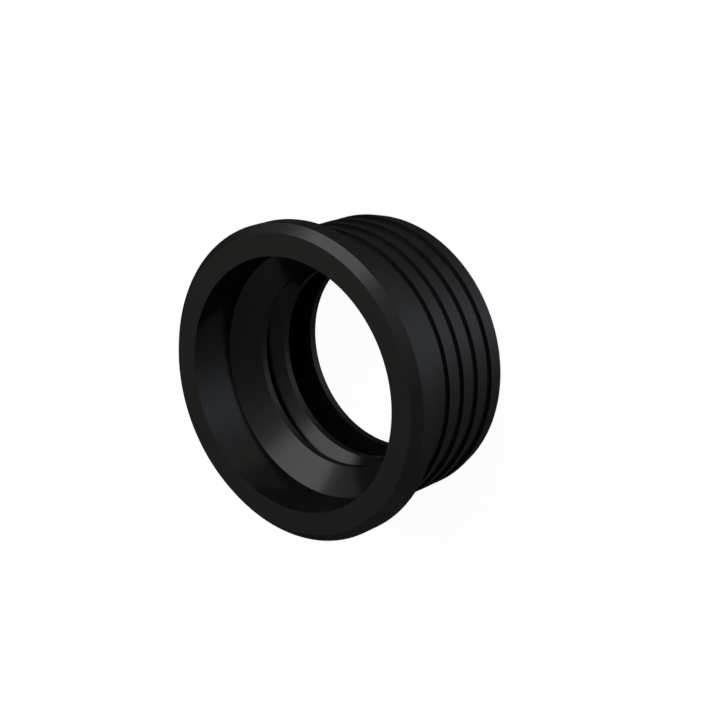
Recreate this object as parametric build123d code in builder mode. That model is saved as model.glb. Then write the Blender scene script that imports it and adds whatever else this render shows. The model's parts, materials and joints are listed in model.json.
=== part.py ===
"""Rubber pipe reducer for drains and rain pipes, moulded in one piece.

It stands on its ribbed end with the mouth up, and +Z runs along its axis. All sizes are in mm.
"""

import os

from build123d import *

# Whole part: it stands from z = 0 up to the face of the mouth
height = 57.0

# Collar that rests on the rim of the drain pipe
collar_d = 116.0
collar_length = 10.2
collar_chamfer = 3.1

# Square-edged ribs that grip the inside of the drain pipe, on a plain round body
rib_d = 105.3
body_d = 103.3
rib_width = 2.5
rib_pitch = 8.25
rib_count = 5
first_rib_top = 7.5
end_chamfer = 0.7

# Hollow body that the smaller pipe is pushed into: its wall is measured between the ribs
wall_thickness = 5.05

# Lips that seal on the smaller pipe and lean away from the mouth
lip_d = 74.2
lip_count = 2
lip_pitch = 12.4
lip_root_depth = 18.8
lip_lean = 7.5
lip_land = 2.7
lip_bite = 1.5

# Plain ring that closes the ribbed end down to the size of the lips
end_ring_length = 3.0

# Bore of the body, from the mouth down to the end ring
mouth_d = body_d - 2 * wall_thickness


def rib(top_z: float) -> None:
    """One rib: a low ring round the body, below its upper face."""
    with Locations((0, 0, top_z - rib_width)):
        Cylinder(rib_d / 2, rib_width, align=(Align.CENTER, Align.CENTER, Align.MIN))


def lip(root_z: float) -> None:
    """One lip of even thickness, its root let into the wall and its tip cut parallel to the pipe."""
    wall, tip = mouth_d / 2, lip_d / 2
    tip_z = root_z - lip_lean
    inset_z = root_z + lip_bite * lip_lean / (wall - tip)
    with BuildSketch(Plane.XZ) as section:
        with BuildLine():
            Polyline(
                (wall + lip_bite, inset_z),
                (tip, tip_z),
                (tip, tip_z - lip_land),
                (wall + lip_bite, inset_z - lip_land),
                close=True,
            )
        make_face()
    revolve(section.sketch, axis=Axis.Z)


with BuildPart() as reducer:
    # Core of the body, up to the mouth
    Cylinder(body_d / 2, height, align=(Align.CENTER, Align.CENTER, Align.MIN))

    # Ribs, counted from the one at the lower end
    for number in range(rib_count):
        rib(first_rib_top + number * rib_pitch)

    # Collar
    with Locations((0, 0, height - collar_length)):
        Cylinder(collar_d / 2, collar_length, align=(Align.CENTER, Align.CENTER, Align.MIN))

    # Slanted edges at the mouth face and at the lower end
    chamfer(reducer.edges().group_by(Axis.Z)[-1], collar_chamfer)
    chamfer(reducer.edges().group_by(Axis.Z)[0], end_chamfer)

    # Bore of the body, and the smaller hole through the end ring
    with Locations((0, 0, end_ring_length)):
        Cylinder(
            mouth_d / 2,
            height - end_ring_length,
            align=(Align.CENTER, Align.CENTER, Align.MIN),
            mode=Mode.SUBTRACT,
        )
    Cylinder(lip_d / 2, end_ring_length, align=(Align.CENTER, Align.CENTER, Align.MIN), mode=Mode.SUBTRACT)

    # Sealing lips, counted from the mouth
    for number in range(lip_count):
        lip(height - lip_root_depth - number * lip_pitch)

reducer.part.label = "rubber_reducer"

os.makedirs("parts", exist_ok=True)
export_step(reducer.part, "parts/rubber_reducer.step")
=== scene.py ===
"""Rubber pipe reducer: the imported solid, its moulded rubber finish, a plain studio and the camera.

Everything is in metres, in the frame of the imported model: the part stands on its ribbed end with
its axis on +Z and its mouth up. The photograph shows the same part with its axis lying across the
picture, so the camera looks down into the mouth and is rolled.
"""

from __future__ import annotations

import json
import logging
import math
from dataclasses import dataclass, field
from enum import Enum
from typing import Any, Optional, Sequence, Union

import bpy
from mathutils import Matrix, Vector

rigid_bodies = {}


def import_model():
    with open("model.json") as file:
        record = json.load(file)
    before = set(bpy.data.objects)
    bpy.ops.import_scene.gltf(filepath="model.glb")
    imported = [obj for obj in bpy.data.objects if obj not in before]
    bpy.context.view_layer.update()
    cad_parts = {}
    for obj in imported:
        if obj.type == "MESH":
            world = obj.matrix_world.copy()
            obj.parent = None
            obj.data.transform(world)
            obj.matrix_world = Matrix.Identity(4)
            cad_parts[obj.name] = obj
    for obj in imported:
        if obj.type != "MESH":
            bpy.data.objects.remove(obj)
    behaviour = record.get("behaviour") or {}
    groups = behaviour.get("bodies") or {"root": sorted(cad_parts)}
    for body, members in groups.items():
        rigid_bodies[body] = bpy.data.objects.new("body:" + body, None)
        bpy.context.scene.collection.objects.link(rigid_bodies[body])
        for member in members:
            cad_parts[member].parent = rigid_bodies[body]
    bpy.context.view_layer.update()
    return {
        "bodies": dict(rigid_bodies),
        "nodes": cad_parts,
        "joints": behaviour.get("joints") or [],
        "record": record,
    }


log = logging.getLogger("reducer")

Colour = tuple[float, float, float]
Number = Union[int, float]
Linked = Union["Wire", Number, Sequence[float]]
Stops = Sequence[tuple[float, float]]

WHITE: Colour = (1.0, 1.0, 1.0)

# Blender's noise lies about this middle and seldom further from it than this reach
NOISE_MIDDLE = 0.5
NOISE_REACH = 0.25

# Sockets of the Mix node for colours, which have the same names as those for values
MIX_FACTOR, MIX_LOW, MIX_HIGH = 0, 6, 7
MIX_RESULT = 2


class Side(Enum):
    """A direction seen from the part: azimuth from +X towards +Y and height, both in degrees."""

    KEY = (-11.0, 36.0)
    BESIDE_KEY = (-84.0, 34.0)
    FAR_TOP = (56.0, 61.5)
    BELOW_KEY = (24.0, 4.0)
    FRONT_FLOOR = (-90.0, -47.0)
    FRONT_RIGHT = (-43.0, -38.0)
    PAST_KEY_EDGE = (107.5, 0.0)

    @property
    def direction(self) -> Vector:
        """Turns the two angles into a vector.

        Returns:
            Unit vector from the part.
        """
        azimuth, height = (math.radians(angle) for angle in self.value)
        level = math.cos(height)
        return Vector((math.cos(azimuth) * level, math.sin(azimuth) * level, math.sin(height)))


class Wire:
    """A shader socket that can be used in Python sums and products, for values and for colours.

    Args:
        graph: The material or world graph that the socket belongs to.
        socket: The output socket that this wire carries, or nothing for a closing node.
    """

    def __init__(self, graph: "Graph", socket: Optional[bpy.types.NodeSocket]) -> None:
        """Notes the graph and the socket."""
        self.graph = graph
        self.socket = socket

    def _is_colour(self, part: Linked) -> bool:
        """Tells a colour or vector from a plain number.

        Args:
            part: A part of a sum or product.

        Returns:
            Whether the part has three numbers.
        """
        if isinstance(part, Wire):
            return part.socket.type in {"RGBA", "VECTOR"}
        return not isinstance(part, (int, float))

    def _sum(self, operation: str, first: Linked, second: Linked) -> "Wire":
        """Adds one Math node, or one Vector Math node where a colour takes part.

        Args:
            operation: Name of the node's operation.
            first: First value, colour or wire.
            second: Second value, colour or wire.

        Returns:
            The wire that carries the result.
        """
        settings = {"operation": operation}
        parts = (first, second)
        if self._is_colour(first) or self._is_colour(second):
            triples = [(part,) * 3 if isinstance(part, (int, float)) else part for part in parts]
            return self.graph.node("ShaderNodeVectorMath", settings, dict(enumerate(triples)))
        return self.graph.node("ShaderNodeMath", settings, dict(enumerate(parts)))

    def __add__(self, other: Linked) -> "Wire":
        """self + other."""
        return self._sum("ADD", self, other)

    def __radd__(self, other: Linked) -> "Wire":
        """other + self."""
        return self._sum("ADD", other, self)

    def __sub__(self, other: Linked) -> "Wire":
        """self - other."""
        return self._sum("SUBTRACT", self, other)

    def __rsub__(self, other: Linked) -> "Wire":
        """other - self."""
        return self._sum("SUBTRACT", other, self)

    def __mul__(self, other: Linked) -> "Wire":
        """self * other."""
        return self._sum("MULTIPLY", self, other)

    def __rmul__(self, other: Linked) -> "Wire":
        """other * self."""
        return self._sum("MULTIPLY", other, self)

    def larger(self, other: Linked) -> "Wire":
        """The larger of self and other."""
        return self._sum("MAXIMUM", self, other)

    def clipped(self) -> "Wire":
        """Self kept between 0 and 1."""
        return self.graph.node("ShaderNodeClamp", {}, {"Value": self})

    def towards(self, direction: Vector) -> "Wire":
        """How far self, a direction, points along another one.

        Args:
            direction: The other direction.

        Returns:
            The wire of the measure: 1 for the same direction and -1 for the opposite one.
        """
        settings = {"operation": "DOT_PRODUCT"}
        inputs = {0: self, 1: direction}
        return self.graph.node("ShaderNodeVectorMath", settings, inputs, output="Value")

    def ramp(self, stops: Stops) -> "Wire":
        """Grey level that self, from 0 to 1, finds on a colour ramp with these stops."""
        return self.graph.node("ShaderNodeValToRGB", {"stops": stops}, {"Fac": self})

    def blend(self, low: Linked, high: Linked) -> "Wire":
        """Colour that is low where self is 0 and high where self is 1."""
        inputs = {MIX_FACTOR: self, MIX_LOW: low, MIX_HIGH: high}
        return self.graph.node("ShaderNodeMix", {"data_type": "RGBA"}, inputs, output=MIX_RESULT)


class Graph:
    """The node tree of one material or world, emptied and ready to be filled.

    Args:
        tree: The node tree to fill.
    """

    def __init__(self, tree: bpy.types.NodeTree) -> None:
        """Notes the tree and empties it."""
        self.tree = tree
        self.tree.nodes.clear()

    def node(
        self,
        kind: str,
        settings: dict[str, Any],
        inputs: dict[Union[int, str], Linked],
        output: Union[int, str] = 0,
    ) -> Wire:
        """Adds any node, sets it and fills its sockets.

        Args:
            kind: Type name of the node.
            settings: Properties of the node, which are set first. Stops fills a colour ramp.
            inputs: Socket name or number to a value or a wire.
            output: Name or number of the output that is returned.

        Returns:
            The wire of the chosen output.
        """
        made = self.tree.nodes.new(kind)
        for name, value in settings.items():
            if name == "stops":
                self._fill_ramp(made.color_ramp, value)
            else:
                setattr(made, name, value)
        for name, value in inputs.items():
            self._fill(made.inputs[name], value)
        return Wire(self, made.outputs[output] if made.outputs else None)

    def _fill_ramp(self, ramp: bpy.types.ColorRamp, stops: Stops) -> None:
        """Sets a ramp's stops.

        Args:
            ramp: The ramp of a Color Ramp node.
            stops: Place and grey level of each stop, in order.
        """
        while len(ramp.elements) < len(stops):
            ramp.elements.new(1.0)
        for element, (place, level) in zip(ramp.elements, stops):
            element.position = place
            element.color = (level, level, level, 1.0)

    def _fill(self, socket: bpy.types.NodeSocket, value: Linked) -> None:
        """Links a wire to a socket or writes a plain value there.

        Args:
            socket: The socket to fill.
            value: A wire, a number, or the parts of a colour or vector.
        """
        if isinstance(value, Wire):
            self.tree.links.new(value.socket, socket)
        elif isinstance(value, (int, float)):
            socket.default_value = value
        else:
            parts = tuple(value)
            needs_alpha = socket.type == "RGBA" and len(parts) == 3
            socket.default_value = parts + (1.0,) if needs_alpha else parts

    def rays_of(self, *kinds: str) -> Wire:
        """Picks out rays by their kind.

        Args:
            kinds: Outputs of the Light Path node.

        Returns:
            The wire of the switch: 1 for rays of the named kinds and 0 for all others.
        """
        wires = [self.node("ShaderNodeLightPath", {}, {}, output=kind) for kind in kinds]
        switch = wires[0]
        for wire in wires[1:]:
            switch = switch.larger(wire)
        return switch

    def noise(self, scale: float, layers: float, roughness: float = 0.5) -> Wire:
        """Three-dimensional noise that is fixed to the part.

        Args:
            scale: Waves per metre.
            layers: Number of finer layers.
            roughness: Strength of the finer layers.

        Returns:
            The wire of the noise.
        """
        place = self.node("ShaderNodeTexCoord", {}, {}, output="Object")
        return self.node(
            "ShaderNodeTexNoise",
            {"noise_dimensions": "3D"},
            {"Vector": place, "Scale": scale, "Detail": layers, "Roughness": roughness},
        )


@dataclass(frozen=True)
class MouldedRubber:
    """Satin black rubber as it comes out of a polished mould.

    Attributes:
        name: Name of the material.
        dark: Colour of the deeper patches.
        light: Colour of the paler patches, where the skin carries a trace of bloom.
        bloom_scale: Patches of bloom per metre.
        bloom_start: Level of the noise at which the bloom starts.
        bloom_contrast: How fast the bloom rises with the noise.
        roughness: Middle value of the roughness.
        roughness_spread: How far the roughness wanders either way.
        reflection: Level of the mirror part, 0.5 for plain glass.
        ior: Index of refraction that the level refers to.
        grain_scale: Grains per metre.
        grain_depth: Height of the finest grain in metres.
        grain_roughness: Strength of the grain's finer layers.
        flow_scale: Slow waves of the moulding per metre.
        flow_depth: Height of the slow waves in metres.
    """

    name: str = "moulded_rubber"
    dark: Colour = (0.0066, 0.0065, 0.0063)
    light: Colour = (0.0082, 0.0081, 0.0078)
    bloom_scale: float = 45.0
    bloom_start: float = 0.35
    bloom_contrast: float = 3.3
    roughness: float = 0.14
    roughness_spread: float = 0.02
    reflection: float = 0.27
    ior: float = 1.5
    grain_scale: float = 2600.0
    grain_depth: float = 0.0000004
    grain_roughness: float = 0.6
    flow_scale: float = 120.0
    flow_depth: float = 0.000001

    def material(self) -> bpy.types.Material:
        """Builds the material.

        Returns:
            The material, ready for an object's slot.
        """
        made = bpy.data.materials.new(self.name)
        made.use_nodes = True
        graph = Graph(made.node_tree)
        bloom = graph.noise(self.bloom_scale, layers=3.0)
        grain = graph.noise(self.grain_scale, layers=2.0, roughness=self.grain_roughness)
        flow = graph.noise(self.flow_scale, layers=2.0)
        patches = ((bloom - self.bloom_start) * self.bloom_contrast).clipped()
        wander = (flow - NOISE_MIDDLE) * (self.roughness_spread / NOISE_REACH)
        relief = grain * self.grain_depth + flow * self.flow_depth
        bumped = graph.node(
            "ShaderNodeBump", {}, {"Strength": 1.0, "Distance": 1.0, "Height": relief}
        )
        shader = graph.node(
            "ShaderNodeBsdfPrincipled",
            {},
            {
                "Base Color": patches.blend(self.dark, self.light),
                "Roughness": self.roughness + wander,
                "Normal": bumped,
                "Specular IOR Level": self.reflection,
                "IOR": self.ior,
            },
        )
        graph.node("ShaderNodeOutputMaterial", {}, {"Surface": shader})
        return made


@dataclass(frozen=True)
class FloorPaint:
    """Pale studio floor: white to the camera with a faint shadow, and open to reflections.

    Attributes:
        name: Name of the material.
        paint: Colour of the floor in the room's light.
        white: Share of plain white in what the camera sees.
        white_strength: Strength of that white, which brings the sum with the lit paint to 1.
    """

    name: str = "studio_floor"
    paint: Colour = (0.90, 0.90, 0.90)
    white: float = 0.94
    white_strength: float = 1.03

    def material(self) -> bpy.types.Material:
        """Builds the material.

        Returns:
            The floor's material.
        """
        made = bpy.data.materials.new(self.name)
        made.use_nodes = True
        graph = Graph(made.node_tree)
        lit = graph.node("ShaderNodeBsdfDiffuse", {}, {"Color": self.paint})
        plain = {"Color": WHITE, "Strength": self.white_strength}
        glow = graph.node("ShaderNodeEmission", {}, plain)
        share = graph.rays_of("Is Camera Ray", "Is Transmission Ray") * self.white
        pale = graph.node("ShaderNodeMixShader", {}, {0: share, 1: lit, 2: glow})
        open_way = graph.node("ShaderNodeBsdfTransparent", {}, {})
        mirrored = graph.rays_of("Is Glossy Ray")
        mixed = graph.node("ShaderNodeMixShader", {}, {0: mirrored, 1: pale, 2: open_way})
        graph.node("ShaderNodeOutputMaterial", {}, {"Surface": mixed})
        return made


@dataclass
class Sleeve:
    """The moulded sleeve itself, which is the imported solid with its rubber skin.

    Attributes:
        node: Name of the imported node.
        finish: The rubber that covers it.
    """

    node: str = "rubber_reducer"
    finish: MouldedRubber = field(default_factory=MouldedRubber)

    def dress(self, frame: dict[str, Any]) -> bpy.types.Object:
        """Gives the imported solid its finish.


        Returns:
            The dressed object.
        """
        obj = frame["nodes"][self.node]
        skin = self.finish.material()
        for place in obj.material_slots:
            place.material = skin
        return obj


@dataclass(frozen=True)
class Glow:
    """One soft bright panel of the room, far from the part.

    Attributes:
        side: Its middle.
        tone: Its colour at the middle, where 1 is white.
        fall: Angle from the middle in degrees and share of the tone there, outwards and down to 0.
        past_edge: Side that faces away from the panel's straight edge, or nothing for no edge.
        dimmer: Share of the tone that is missing past the edge.
        edge_step: How fast the tone drops across the edge, per radian.
    """

    side: Side
    tone: Colour
    fall: Stops
    past_edge: Optional[Side] = None
    dimmer: float = 0.0
    edge_step: float = 80.0

    def light(self, direction: Wire) -> Wire:
        """Light of the panel.

        Args:
            direction: Where the room is looked at.

        Returns:
            The wire of its colour there.
        """
        inwards = [(math.cos(math.radians(angle)), share) for angle, share in reversed(self.fall)]
        rim = inwards[0][0]
        place = (direction.towards(self.side.direction) - rim) * (1.0 / (1.0 - rim))
        share = place.ramp([((near - rim) / (1.0 - rim), level) for near, level in inwards])
        if self.past_edge is not None:
            past = direction.towards(self.past_edge.direction)
            share = share * (1.0 - (past * self.edge_step + 0.5).clipped() * self.dimmer)
        return share * self.tone


@dataclass
class Studio:
    """Floor and surrounding light.

    Attributes:
        floor_size: Side of the floor in metres.
        heights: Tone of the plain room by height, from straight down at 0 to straight up at 1.
        panels: Soft bright panels of the room.
        second_loss: Share of the light that a reflection of a reflection loses, as in grooves.
        paint: The floor's finish.
    """

    floor_size: float = 12.0
    heights: Stops = (
        (0.0, 0.02),
        (0.34, 0.02),
        (0.40, 0.035),
        (0.46, 0.065),
        (0.52, 0.10),
        (0.58, 0.15),
        (0.66, 0.20),
        (0.78, 0.20),
        (0.90, 0.19),
        (1.0, 0.18),
    )
    panels: tuple[Glow, ...] = (
        Glow(
            Side.KEY,
            (2.90, 2.90, 2.90),
            (
                (0.0, 1.0),
                (14.0, 1.0),
                (18.0, 0.94),
                (21.0, 0.80),
                (24.0, 0.56),
                (27.0, 0.36),
                (30.0, 0.25),
                (34.0, 0.17),
                (40.0, 0.11),
                (47.0, 0.06),
                (55.0, 0.02),
                (62.0, 0.0),
            ),
            past_edge=Side.PAST_KEY_EDGE,
            dimmer=0.35,
        ),
        Glow(
            Side.BESIDE_KEY,
            (0.32, 0.32, 0.31),
            ((0.0, 1.0), (14.0, 0.75), (25.0, 0.34), (36.0, 0.1), (48.0, 0.0)),
        ),
        Glow(
            Side.FAR_TOP,
            (0.50, 0.47, 0.40),
            ((0.0, 1.0), (12.0, 0.72), (21.0, 0.38), (27.0, 0.13), (33.0, 0.0)),
        ),
        Glow(
            Side.BELOW_KEY,
            (0.08, 0.07, 0.06),
            ((0.0, 1.0), (8.0, 0.9), (16.0, 0.45), (26.0, 0.0)),
        ),
        Glow(
            Side.FRONT_FLOOR,
            (0.69, 0.715, 0.72),
            (
                (0.0, 1.0),
                (6.0, 0.98),
                (12.0, 0.83),
                (16.0, 0.73),
                (20.0, 0.60),
                (25.0, 0.47),
                (30.0, 0.34),
                (36.0, 0.25),
                (43.0, 0.17),
                (50.0, 0.12),
                (58.0, 0.07),
                (66.0, 0.04),
                (75.0, 0.015),
                (85.0, 0.0),
            ),
        ),
        Glow(
            Side.FRONT_RIGHT,
            (0.19, 0.16, 0.12),
            ((0.0, 1.0), (5.0, 0.85), (10.0, 0.3), (15.0, 0.0)),
        ),
        Glow(
            Side.FRONT_FLOOR,
            (0.0, 0.025, 0.15),
            ((0.0, 1.0), (12.0, 0.85), (20.0, 0.45), (28.0, 0.1), (36.0, 0.0)),
        ),
    )
    second_loss: float = 0.75
    paint: FloorPaint = field(default_factory=FloorPaint)

    def lay_floor(self) -> bpy.types.Object:
        """Lays the floor that the part stands on.

        Returns:
            The floor's object.
        """
        half = self.floor_size / 2
        mesh = bpy.data.meshes.new("floor")
        corners = [(-half, -half, 0.0), (half, -half, 0.0), (half, half, 0.0), (-half, half, 0.0)]
        mesh.from_pydata(corners, [], [(0, 1, 2, 3)])
        floor = bpy.data.objects.new("floor", mesh)
        bpy.context.scene.collection.objects.link(floor)
        mesh.materials.append(self.paint.material())
        return floor

    def light_room(self) -> None:
        """Sets the light of the room, which the camera sees as white."""
        world = bpy.data.worlds.new("room")
        world.use_nodes = True
        bpy.context.scene.world = world
        graph = Graph(world.node_tree)
        direction = graph.node("ShaderNodeTexCoord", {}, {}, output="Generated")
        height = direction.towards(Vector((0.0, 0.0, 0.5))) + 0.5
        tone = height.ramp(self.heights)
        for panel in self.panels:
            tone = tone + panel.light(direction)
        bounces = graph.node("ShaderNodeLightPath", {}, {}, output="Glossy Depth")
        tone = tone * (1.0 - (bounces - 1.0).clipped() * self.second_loss)
        seen = graph.rays_of("Is Camera Ray", "Is Transmission Ray").blend(tone, WHITE)
        light = graph.node("ShaderNodeBackground", {}, {"Color": seen, "Strength": 1.0})
        graph.node("ShaderNodeOutputWorld", {}, {"Surface": light})

    def build(self) -> None:
        """Builds the whole studio."""
        floor = self.lay_floor()
        log.info("%s laid", floor.name)
        self.light_room()
        log.info("room lit by %d panels", len(self.panels))


@dataclass(frozen=True)
class PhotoCamera:
    """The photograph's view of the part.

    Attributes:
        lens: Focal length in millimetres.
        sensor: Width of the sensor in millimetres.
        clip: Nearest and farthest distance that is seen, in metres.
        height: Height of the mouth's face in metres.
        tilt: Angle between the line of sight and the part's axis, in degrees.
        lean: Angle of the part's axis in the picture, up to the right, in degrees.
        offset: Place of the mouth's centre from the line of sight, right and down, in metres.
        distance: Distance of the mouth's centre along the line of sight, in metres.
    """

    lens: float = 85.0
    sensor: float = 36.0
    clip: tuple[float, float] = (0.01, 50.0)
    height: float = 0.057
    tilt: float = 42.700
    lean: float = 19.719
    offset: tuple[float, float] = (-0.025289, 0.009278)
    distance: float = 0.59993

    def axes(self) -> tuple[Vector, Vector, Vector]:
        """Works out the camera's own axes in the part's frame.

        Returns:
            Unit vectors to the right, up and forward.
        """
        tilt, lean = math.radians(self.tilt), math.radians(self.lean)
        forward = Vector((0.0, math.sin(tilt), -math.cos(tilt)))
        level_right = Vector((1.0, 0.0, 0.0))
        level_up = Vector((0.0, math.cos(tilt), math.sin(tilt)))
        right = -math.sin(lean) * level_right - math.cos(lean) * level_up
        up = math.cos(lean) * level_right - math.sin(lean) * level_up
        return right, up, forward

    def place(self) -> bpy.types.Object:
        """Sets up the camera and makes it the scene's own.

        Returns:
            The camera's object.
        """
        right, up, forward = self.axes()
        across, down = self.offset
        data = bpy.data.cameras.new("photo_camera")
        data.lens = self.lens
        data.sensor_width = self.sensor
        data.clip_start, data.clip_end = self.clip
        camera = bpy.data.objects.new("photo_camera", data)
        mouth = Vector((0.0, 0.0, self.height))
        spot = mouth - across * right + down * up - self.distance * forward
        turn = Matrix((right, up, -forward)).transposed()
        camera.matrix_world = Matrix.Translation(spot) @ turn.to_4x4()
        bpy.context.scene.collection.objects.link(camera)
        bpy.context.scene.camera = camera
        return camera


def main() -> None:
    """Builds the scene in order and notes each piece."""
    logging.basicConfig(level=logging.INFO, format="%(name)s: %(message)s")
    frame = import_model()

    camera = PhotoCamera().place()
    log.info("%s placed", camera.name)

    sleeve = Sleeve().dress(frame)
    log.info("%s dressed", sleeve.name)

    Studio().build()
    bpy.context.scene.view_settings.view_transform = "Standard"


if __name__ == "__main__":
    main()
